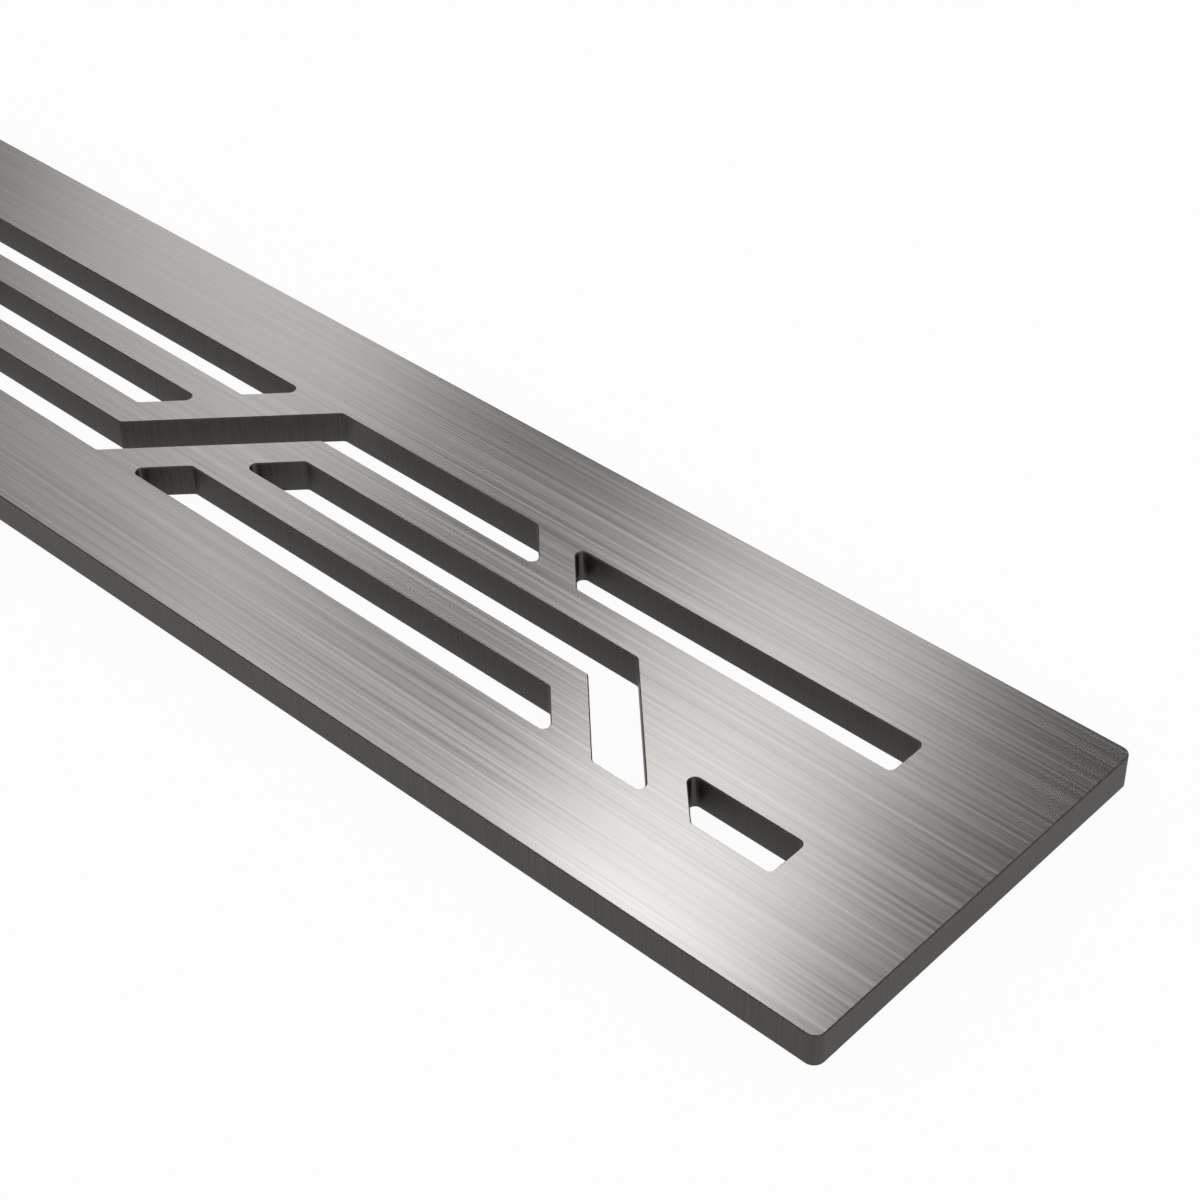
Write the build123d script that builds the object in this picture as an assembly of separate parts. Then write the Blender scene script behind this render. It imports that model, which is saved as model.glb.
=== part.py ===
from build123d import *
import os
from math import sqrt

# Grate of a linear shower drain: one flat stainless plate, cut right through by a running
# pattern of slots. It lies loose in the top of the channel and lifts out by hand.
#
# X runs along the plate, Y across it and Z up. The origin is at the middle of the underside.
# The slots run in three lanes: the near lane (-Y), the middle lane on the X axis and the far
# lane (+Y). At even steps along the plate a slot jogs sideways at 45 degrees. At a hook, a slot
# of the middle lane turns off across the near lane and ends there. At a crossover, a slot goes
# from the near lane over to the far lane. The slots beside a jog stop short of it, so that a
# land of even width follows it, except that the ends in the far lane stand a little further back.
# There is a crossover at the middle of the plate, and half a turn about the Z axis carries the
# whole pattern onto itself.

# Plate, in millimetres
plate_width = 60.0
plate_thickness = 5.0
plate_corner_radius = 1.5
edge_break = 0.15

# Slots, with the land between them measured square to their edges
slot_width = 6.3
land_width = 4.9
slot_corner_radius = 0.9

# Pattern along the plate: hooks and crossovers follow each other in turn
hooks_per_half = 2
jog_spacing = 75.8
end_to_first_jog = 57.4
end_to_slots = 19.6
far_lane_setback = 1.3

# Sizes that follow from those above
half_length = end_to_first_jog + (2 * hooks_per_half - 1) * jog_spacing
plate_length = 2 * half_length
lane_pitch = slot_width + land_width
near_lane, middle_lane, far_lane = -lane_pitch, 0.0, lane_pitch
jog_reach = sqrt(2) * slot_width / 2
neighbour_reach = sqrt(2) * (slot_width / 2 + land_width)

# A cut line is (where it crosses the X axis, how it leans), and a jog is the line down its middle
SQUARE = 0
LEANS_LEFT = -1
LEANS_RIGHT = 1


def crossing(cut, y):
    """Point at the height y on a cut line."""
    x, lean = cut
    return (x + lean * y, y)


def shifted(cut, distance):
    """Cut line parallel to another, a distance along X away from it."""
    x, lean = cut
    return (x + distance, lean)


def half_turn(cut):
    """The same cut line after half a turn about the Z axis."""
    x, lean = cut
    return (-x, lean)


def lane_edges(lane):
    """Near and far edge of the slots in a lane."""
    return lane - slot_width / 2, lane + slot_width / 2


def before(jog):
    """Where a slot on the left stops, one land short of a jog."""
    return shifted(jog, -neighbour_reach)


def after(jog):
    """Where a slot on the right starts, one land past a jog."""
    return shifted(jog, neighbour_reach)


def set_back(cut):
    """The same cut as it is made in the far lane, further from the plate's end."""
    return shifted(cut, -far_lane_setback)


def far_slot_start(hook):
    """Where the far-lane slot beyond a hook starts, set back from the hook's left edge."""
    return set_back(shifted(hook, -jog_reach))


def straight_slot(lane, left, right):
    """Corners of a slot that stays in one lane."""
    near, far = lane_edges(lane)
    return [crossing(left, near), crossing(right, near), crossing(right, far), crossing(left, far)]


def hooked_slot(left, hook):
    """Corners of a slot that leaves the middle lane and ends across the near lane."""
    hook_left, hook_right = shifted(hook, -jog_reach), shifted(hook, jog_reach)
    middle_near, middle_far = lane_edges(middle_lane)
    hook_end = lane_edges(near_lane)[0]
    return [
        crossing(left, middle_near),
        crossing(hook_left, middle_near),
        crossing(hook_left, hook_end),
        crossing(hook_right, hook_end),
        crossing(hook_right, middle_far),
        crossing(left, middle_far),
    ]


def crossover_slot(left, crossover, right):
    """Corners of a slot that goes from the near lane on the left to the far lane on the right."""
    jog_left, jog_right = shifted(crossover, -jog_reach), shifted(crossover, jog_reach)
    near_lane_near, near_lane_far = lane_edges(near_lane)
    far_lane_near, far_lane_far = lane_edges(far_lane)
    return [
        crossing(left, near_lane_near),
        crossing(jog_right, near_lane_near),
        crossing(jog_right, far_lane_near),
        crossing(right, far_lane_near),
        crossing(right, far_lane_far),
        crossing(jog_left, far_lane_far),
        crossing(jog_left, near_lane_far),
        crossing(left, near_lane_far),
    ]


def half_pattern(hooks, crossovers):
    """Corners of every slot on the right of the middle crossover, from the plate's end inwards."""
    plate_end = (half_length - end_to_slots, SQUARE)
    slots = [
        straight_slot(far_lane, far_slot_start(hooks[0]), plate_end),
        straight_slot(near_lane, after(hooks[0]), plate_end),
    ]
    for hook, crossover in zip(hooks, crossovers):
        slots += [
            hooked_slot(after(crossover), hook),
            straight_slot(near_lane, after(crossover), before(hook)),
        ]
    for hook, crossover, next_hook in zip(hooks, crossovers, hooks[1:]):
        slots += [
            crossover_slot(after(next_hook), crossover, set_back(before(hook))),
            straight_slot(far_lane, far_slot_start(next_hook), set_back(before(crossover))),
            straight_slot(middle_lane, after(next_hook), before(crossover)),
        ]
    return slots


def rounded_slot(corners):
    """Face of one slot, with the small radius that the cut leaves in its corners."""
    outline = make_face(Polyline(*corners, close=True).edges())
    return fillet(outline.vertices(), slot_corner_radius)


def slot_faces():
    """Faces of all the slots: one half, its half turn, and the slot across the middle."""
    first_hook = half_length - end_to_first_jog
    hook_step = 2 * jog_spacing
    hooks = [(first_hook - index * hook_step, LEANS_LEFT) for index in range(hooks_per_half)]
    crossovers = [(hook_x - jog_spacing, LEANS_RIGHT) for hook_x, lean in hooks]

    half = [rounded_slot(corners) for corners in half_pattern(hooks, crossovers)]
    other_half = [Rot(0, 0, 180) * face for face in half]
    middle_end = set_back(before(hooks[-1]))
    middle = rounded_slot(crossover_slot(half_turn(middle_end), crossovers[-1], middle_end))
    return half + other_half + [middle]


def make_grate_plate():
    """The slotted plate, with a light break along every edge of its two faces."""
    blank = RectangleRounded(plate_length, plate_width, plate_corner_radius)
    plate = extrude(blank - slot_faces(), plate_thickness)
    faces_by_height = plate.faces().sort_by(Axis.Z)
    underside, top = faces_by_height[0], faces_by_height[-1]
    return chamfer(underside.edges() + top.edges(), edge_break)


grate_plate = make_grate_plate()
grate_plate.label = "grate_plate"

os.makedirs("parts", exist_ok=True)
export_step(grate_plate, "parts/grate_plate.step")

size = grate_plate.bounding_box().size
print(f"plate {size.X:.1f} x {size.Y:.1f} x {size.Z:.1f} mm, {grate_plate.volume:.0f} mm3")
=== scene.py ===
# %% [markdown]
# # A brushed steel drain grate in a white studio
#
# The object is the grate of a linear shower drain: one flat plate of stainless steel with slots
# cut through it. Its shape is already complete in the CAD model, so this lesson is about finish
# and light. Bare metal has almost no colour of its own. What the eye reads as steel is the way
# the surface smears the reflections of the room, so the finish and the studio are made together.

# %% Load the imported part
import math

import bpy
from mathutils import Matrix, Vector


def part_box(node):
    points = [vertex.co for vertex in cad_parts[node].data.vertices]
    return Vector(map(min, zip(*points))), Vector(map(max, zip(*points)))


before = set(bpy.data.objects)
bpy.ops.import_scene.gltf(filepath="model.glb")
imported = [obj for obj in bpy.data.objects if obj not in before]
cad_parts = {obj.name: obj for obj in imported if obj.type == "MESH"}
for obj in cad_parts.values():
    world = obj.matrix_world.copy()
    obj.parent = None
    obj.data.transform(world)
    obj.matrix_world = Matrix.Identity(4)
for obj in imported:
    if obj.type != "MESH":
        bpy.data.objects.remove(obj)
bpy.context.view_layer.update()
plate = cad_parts["grate_plate"]
low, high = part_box("grate_plate")
print("plate, mm:", [round(side * 1000, 1) for side in high - low])

# %% [markdown]
# ## Three small helpers
#
# Every length below is written in millimetres, because that is how a workshop thinks, and Blender
# wants metres. Colours are written as the hex values of a paint chart. Those are sRGB, and a
# shader needs linear light, so one function turns them. The last helper adds a node to a tree,
# sets its values and joins it to the nodes that feed it.

# %% Helpers
MM = 0.001


def colour(hex_value):
    """Linear colour from an sRGB hex value such as "8c8a86"."""
    channels = [int(hex_value[i : i + 2], 16) / 255 for i in (0, 2, 4)]
    linear = [c / 12.92 if c <= 0.04045 else ((c + 0.055) / 1.055) ** 2.4 for c in channels]
    return (*linear, 1.0)


def add(tree, kind, settings=None, links=None):
    """Add a node. Settings and links go by the name or number of an input, or by a property's name.

    A link is given as an output, or as a node, which stands for its first output.
    """
    node = tree.nodes.new(kind)
    for name, value in (settings or {}).items():
        if isinstance(name, int) or name in node.inputs:
            node.inputs[name].default_value = value
        else:
            setattr(node, name, value)
    for name, source in (links or {}).items():
        output = source.outputs[0] if isinstance(source, bpy.types.Node) else source
        tree.links.new(output, node.inputs[name])
    return node


# %% [markdown]
# ## Where each finish lies
#
# A grate like this starts as a rolled sheet. One face is brushed on a belt sander, then a laser
# cuts the outline and the slots. So it has three surfaces: the brushed top, the dark cut walls and
# the plain mill finish underneath. They meet at sharp edges and face different ways, so the
# direction of the true surface normal tells them apart without any painting by hand. The narrow
# broken edges slope, and count as cut wall. So they take the walls' dark colour, which is painted
# shade on them: it keeps the edges from showing a bright highlight line.

# %% Start the steel and its masks
# Sloping broken edges fall below this and take the cut walls' dark colour, painted shade that hides
# their edge highlight
FLATNESS = 0.9  # how far up or down a normal points, at least, on the two flat faces

steel = bpy.data.materials.new("stainless steel, brushed and laser cut")
steel.use_nodes = True
tree = steel.node_tree
tree.nodes.clear()

place = add(tree, "ShaderNodeTexCoord").outputs["Object"]
facing = add(tree, "ShaderNodeNewGeometry").outputs["True Normal"]
facing_up = add(tree, "ShaderNodeSeparateXYZ", links={"Vector": facing}).outputs["Z"]
is_top = add(tree, "ShaderNodeMath", {"operation": "GREATER_THAN", 1: FLATNESS}, {0: facing_up})
is_underside = add(tree, "ShaderNodeMath", {"operation": "LESS_THAN", 1: -FLATNESS}, {0: facing_up})
print("steel covers", plate.name, "with", len(plate.data.polygons), "faces")

# %% [markdown]
# ## Noise as a workshop mark
#
# Every mark on this steel is a noise that is stretched one way: a scratch is long in the direction
# of the belt, a cut ridge is tall. A noise is stretched by dividing the position by the size that
# one patch should have in each direction. The noise mostly stays between 0.3 and 0.7, so those are
# the ends that are spread over a range of roughness, of depth or between two colours. Two colours
# meet in a Mix node, which has one set of sockets for numbers and another for colours.

# %% Stretched noise
QUIETEST, LOUDEST = 0.3, 0.7
FINER_LAYER = 0.6  # strength of each finer layer of a noise against the one before

# Sockets of a Mix node: its kind, the first and the second input, and the result
NUMBERS = ("FLOAT", 2, 3, 0)
COLOURS = ("RGBA", 6, 7, 2)


def patches(size_mm, detail):
    """Noise whose patches have this size along X, Y and Z, in millimetres."""
    size = [side * MM for side in size_mm]
    stretched = add(tree, "ShaderNodeVectorMath", {"operation": "DIVIDE", 1: size}, {0: place})
    noise_look = {"Scale": 1.0, "Detail": detail, "Roughness": FINER_LAYER}
    return add(tree, "ShaderNodeTexNoise", noise_look, {"Vector": stretched}).outputs["Fac"]


def between(low_value, high_value, noise):
    """The noise, spread from a low value to a high one."""
    noise_ends = {"From Min": QUIETEST, "From Max": LOUDEST}
    value_ends = {"To Min": low_value, "To Max": high_value}
    return add(tree, "ShaderNodeMapRange", {**noise_ends, **value_ends}, {"Value": noise})


def blend(first, second, noise):
    """Colour that goes from the first to the second as the noise rises."""
    kind, one, other, result = COLOURS
    ends = {"data_type": kind, one: colour(first), other: colour(second)}
    return add(tree, "ShaderNodeMix", ends, {0: between(0.0, 1.0, noise)}).outputs[result]


print("every noise is spread from", QUIETEST, "to", LOUDEST)

# %% [markdown]
# ## Brushed top
#
# The belt runs along the plate and leaves scratches that are tens of millimetres long and, for a
# 240 grit belt, about 0.05 mm apart. That is far finer than a pixel, so they are drawn ten times
# as coarse, 0.5 mm apart, to be seen at all. Broader streaks come from the uneven pressure of the
# belt. Where it cut deeper the steel is a little duller and paler, so one noise drives both the
# colour and the roughness. The face itself is wavy by a thousandth of a millimetre, over wide
# patches.

# %% Brushed top
STREAK_SHARE = 0.35  # the rest of the brushing is scratches

scratches = patches((60, 0.5, 60), 1)
streaks = patches((140, 1.8, 140), 2)
waves = patches((140, 3, 140), 0)
kind, one, other, result = NUMBERS
streak_share = {"data_type": kind, 0: STREAK_SHARE}
brushed = {one: scratches, other: streaks}
brushing = add(tree, "ShaderNodeMix", streak_share, brushed).outputs[result]
top_colour = blend("c1bdba", "d6d2cf", brushing)
top_roughness = between(0.215, 0.275, brushing)
top_depth = between(0.0, 0.001, waves)
print("nodes up to the brushed top:", len(tree.nodes))

# %% [markdown]
# ## Laser-cut walls and the underside
#
# The beam melts its way down and leaves upright ridges in each wall, about 0.3 mm apart and 0.02 mm
# deep, and the heat darkens the metal to a warm grey brown. The walls' dark colour is partly that
# heat tint and partly painted shade: it is darker than the cut steel, standing for the dim room
# that the walls mirror. It is still metal, so it stays a metallic surface with a dark colour,
# rougher than the top. The patches of the noise are small along X and Y and tall along Z, so the
# ridges stand upright in walls of any direction. The underside keeps the mill finish of the sheet:
# light, dull and without a direction.

# %% Cut walls and mill finish
ridges = patches((0.33, 0.33, 9), 2)
# Dark wall colour: partly warm heat tint, partly painted shade for the dim room the walls mirror
wall_heat_tint_and_painted_shade = blend("4f4c49", "615e5b", ridges)
wall_roughness = between(0.46, 0.56, ridges)
wall_depth = between(0.0, 0.02, ridges)

rolled = patches((0.5, 0.5, 0.5), 4)
under_colour = blend("b9b6b1", "c1beb9", rolled)
under_roughness = between(0.36, 0.42, rolled)
under_depth = between(0.0, 0.003, rolled)
print("nodes up to the underside:", len(tree.nodes))

# %% [markdown]
# ## Each finish in its place
#
# The walls' value comes first. The top's goes over it where the face looks up, and the
# underside's where it looks down.


# %% Join the finishes by face
def by_face(top, wall, underside, sockets):
    """The value that belongs to the face, for numbers or for colours."""
    kind, one, other, result = sockets
    settings = {"data_type": kind}
    upper_links = {0: is_top, one: wall, other: top}
    upper = add(tree, "ShaderNodeMix", settings, upper_links).outputs[result]
    lower_links = {0: is_underside, one: upper, other: underside}
    return add(tree, "ShaderNodeMix", settings, lower_links).outputs[result]


steel_colour = by_face(top_colour, wall_heat_tint_and_painted_shade, under_colour, COLOURS)
steel_roughness = by_face(top_roughness, wall_roughness, under_roughness, NUMBERS)
steel_depth = by_face(top_depth, wall_depth, under_depth, NUMBERS)
print("nodes up to the joined finishes:", len(tree.nodes))

# %% [markdown]
# ## The shader
#
# One Principled node carries all three finishes. Brushing makes the steel anisotropic: it blurs
# reflections across the scratches far more than along them, so the highlights become bands across
# the plate. The tangent is the direction of that blur. On the top it is straight across the
# plate, along Y. Its steep upward part counts for nothing there, and on the cut walls it turns
# the blur upright, whichever way a wall faces. The bump's distance is one millimetre, so the
# depths above are real ones.

# %% The steel's shader
blur_direction = add(tree, "ShaderNodeCombineXYZ", {"X": 0.0, "Y": 1.0, "Z": 5.0})
bump = add(tree, "ShaderNodeBump", {"Strength": 1.0, "Distance": MM}, {"Height": steel_depth})
shader = add(
    tree,
    "ShaderNodeBsdfPrincipled",
    {"Metallic": 1.0, "Anisotropic": 0.83},
    {
        "Base Color": steel_colour,
        "Roughness": steel_roughness,
        "Normal": bump,
        "Tangent": blur_direction,
    },
)
add(tree, "ShaderNodeOutputMaterial", links={"Surface": shader})

plate.data.materials.clear()
plate.data.materials.append(steel)
print("steel nodes:", len(tree.nodes))

# %% [markdown]
# ## White floor
#
# The picture has a white ground that also shows through the slots. The floor is a sheet of matt
# white paper just under the plate. Matt paper alone comes out grey in a dim studio, so the floor
# mostly glows at the white of the page for what looks at it: the camera, and the metal that
# mirrors it. The matt share that is left keeps a faint shadow under the plate, and the plate gets
# no extra light from the glow.

# %% The floor
FLOOR_HALF = 15.0  # metres
FLOOR_DROP = 0.1 * MM  # keeps the floor and the underside out of one plane
GLOW_SHARE = 0.95

floor_mesh = bpy.data.meshes.new("floor")
corner_signs = ((-1, -1), (1, -1), (1, 1), (-1, 1))
corners = [(x * FLOOR_HALF, y * FLOOR_HALF, -FLOOR_DROP) for x, y in corner_signs]
floor_mesh.from_pydata(corners, [], [(0, 1, 2, 3)])
floor = bpy.data.objects.new("floor", floor_mesh)
bpy.context.scene.collection.objects.link(floor)
print("floor:", 2 * FLOOR_HALF, "m square")

# %% Its paper
paper = bpy.data.materials.new("matt white paper")
paper.use_nodes = True
tree = paper.node_tree
tree.nodes.clear()
matt = add(tree, "ShaderNodeBsdfDiffuse", {"Color": colour("ececea")})
glow = add(tree, "ShaderNodeEmission", {"Color": colour("ffffff"), "Strength": 1.0})
ray = add(tree, "ShaderNodeLightPath").outputs
looked_at = ray["Is Camera Ray"]
for other_look in (ray["Is Glossy Ray"], ray["Is Transmission Ray"]):
    looked_at = add(tree, "ShaderNodeMath", {"operation": "MAXIMUM"}, {0: looked_at, 1: other_look})
share = add(tree, "ShaderNodeMath", {"operation": "MULTIPLY", 1: GLOW_SHARE}, {0: looked_at})
surface = add(tree, "ShaderNodeMixShader", links={0: share, 1: matt, 2: glow})
add(tree, "ShaderNodeOutputMaterial", links={"Surface": surface})
floor_mesh.materials.append(paper)
print("paper nodes:", len(tree.nodes))

# %% [markdown]
# ## The studio's directions
#
# The plate mirrors the studio, so the studio is drawn as carefully as the steel. It is a dim room
# with soft boxes, painted on the world, which needs no lamps. Two numbers say where a direction of
# the room lies. The leaning is how far it points along the plate, from 0 to 1. The brushing
# hardly blurs that one, so it decides which soft box a spot of the plate shows. The arc is the
# height above the horizon seen from the plate's end, from 0 to 90 degrees, and it is blurred a
# lot. Both leave out the sign, so the room is the same in front and behind, left and right, and
# the steel looks alike from opposite sides.

# %% The world and its directions
world = bpy.data.worlds.new("soft box studio")
bpy.context.scene.world = world
world.use_nodes = True
tree = world.node_tree
tree.nodes.clear()

direction = add(tree, "ShaderNodeTexCoord").outputs["Generated"]
parts = add(tree, "ShaderNodeSeparateXYZ", links={"Vector": direction}).outputs
upward = parts["Z"]
leaning = add(tree, "ShaderNodeMath", {"operation": "ABSOLUTE"}, {0: parts["X"]})
sideways = add(tree, "ShaderNodeMath", {"operation": "ABSOLUTE"}, {0: parts["Y"]})
arc_radians = add(tree, "ShaderNodeMath", {"operation": "ARCTAN2"}, {0: upward, 1: sideways})
arc = add(tree, "ShaderNodeMath", {"operation": "DEGREES"}, {0: arc_radians})
print("direction nodes:", len(tree.nodes))

# %% [markdown]
# ## Soft boxes
#
# A soft box is lit between its edges. The numbers of an edge are its place, the width of its fade,
# and the light before and past it. Multiplying the edges cuts the box out, and one of them carries
# its strength. The narrow strip gives the bright band near the plate's end. It grows brighter
# overhead, so the band is brightest at the near edge of the plate. Two wide panels light the far
# part of the plate, one low and one high. A fill overhead and one at each end of the room keep the
# plate from going black from other sides.


# %% The soft boxes
def soft_edge(value, middle, fade, before=0.0, past=1.0):
    """One level before the middle and another past it, with a fade of this width between."""
    fade_ends = {"From Min": middle - fade / 2, "From Max": middle + fade / 2}
    levels = {"To Min": before, "To Max": past}
    settings = {"interpolation_type": "SMOOTHSTEP", **fade_ends, **levels}
    return add(tree, "ShaderNodeMapRange", settings, {"Value": value})


def soft_box(*edges):
    """A light that shines where all of its edges are lit."""
    light = edges[0]
    for edge in edges[1:]:
        light = add(tree, "ShaderNodeMath", {"operation": "MULTIPLY"}, {0: light, 1: edge})
    return light


strip = soft_box(
    soft_edge(leaning, 0.41, 0.042),
    soft_edge(leaning, 0.516, 0.042, 1.0, 0.0),
    soft_edge(arc, 53.5, 40),  # fades in from low down
    soft_edge(arc, 68, 24, 2.46, 4.86),  # its strength, which doubles overhead
)
low_panel = soft_box(
    soft_edge(leaning, 0.622, 0.056, 0.0, 1.05),
    soft_edge(leaning, 0.744, 0.056, 1.0, 0.0),
    soft_edge(arc, 52.7, 6.8, 1.0, 0.0),  # ends halfway up
)
high_panel = soft_box(
    soft_edge(leaning, 0.547, 0.012, 0.0, 1.5),
    soft_edge(leaning, 0.653, 0.012, 1.0, 0.0),
    soft_edge(arc, 60.8, 6.1),  # starts above the low panel
)
overhead_fill = soft_edge(leaning, 0.245, 0.12, 0.9, 0.0)
end_fill = soft_edge(leaning, 0.8, 0.1, 0.0, 0.8)
print("studio nodes so far:", len(tree.nodes))

# %% [markdown]
# ## The room put together
#
# The lights are added up. Near the horizon a low white wall goes round the room, because the cut
# walls and the edges of the plate face it and would otherwise mirror nothing.

# %% Add up the room
room = strip
for light in (low_panel, high_panel, overhead_fill, end_fill):
    room = add(tree, "ShaderNodeMath", {"operation": "ADD"}, {0: room, 1: light})
low_wall = soft_edge(upward, 0.2, 0.1, 1.0, 0.0)
kind, one, other, result = NUMBERS
wall_level = {"data_type": kind, other: 1.0}
strength = add(tree, "ShaderNodeMix", wall_level, {0: low_wall, one: room}).outputs[result]
background = add(tree, "ShaderNodeBackground", {"Color": colour("ffffff")}, {"Strength": strength})
add(tree, "ShaderNodeOutputWorld", links={"Surface": background})
print("studio nodes:", len(tree.nodes))

# %% [markdown]
# ## The camera
#
# The picture is a close look at one end of the plate, from above and to the side, with a long
# lens and the camera tilted a little. A long lens keeps the slots almost parallel.

# %% The camera
camera_data = bpy.data.cameras.new("camera")
camera_data.lens = 75.22
camera_data.sensor_width = 36
camera_data.clip_start = 10 * MM
camera = bpy.data.objects.new("camera", camera_data)
bpy.context.scene.collection.objects.link(camera)

camera_place = Vector((390.7, -170.9, 213.2)) * MM
camera_aim = Vector((217.4, 8.34, 5.0)) * MM
camera_roll = math.radians(-1.65)
look = camera_aim - camera_place
turn = look.to_track_quat("-Z", "Y").to_matrix().to_4x4()
camera.matrix_world = Matrix.Translation(camera_place) @ turn @ Matrix.Rotation(camera_roll, 4, "Z")
bpy.context.scene.camera = camera
bpy.context.scene.view_settings.view_transform = "Standard"
print("camera to plate, mm:", round(look.length * 1000, 1))
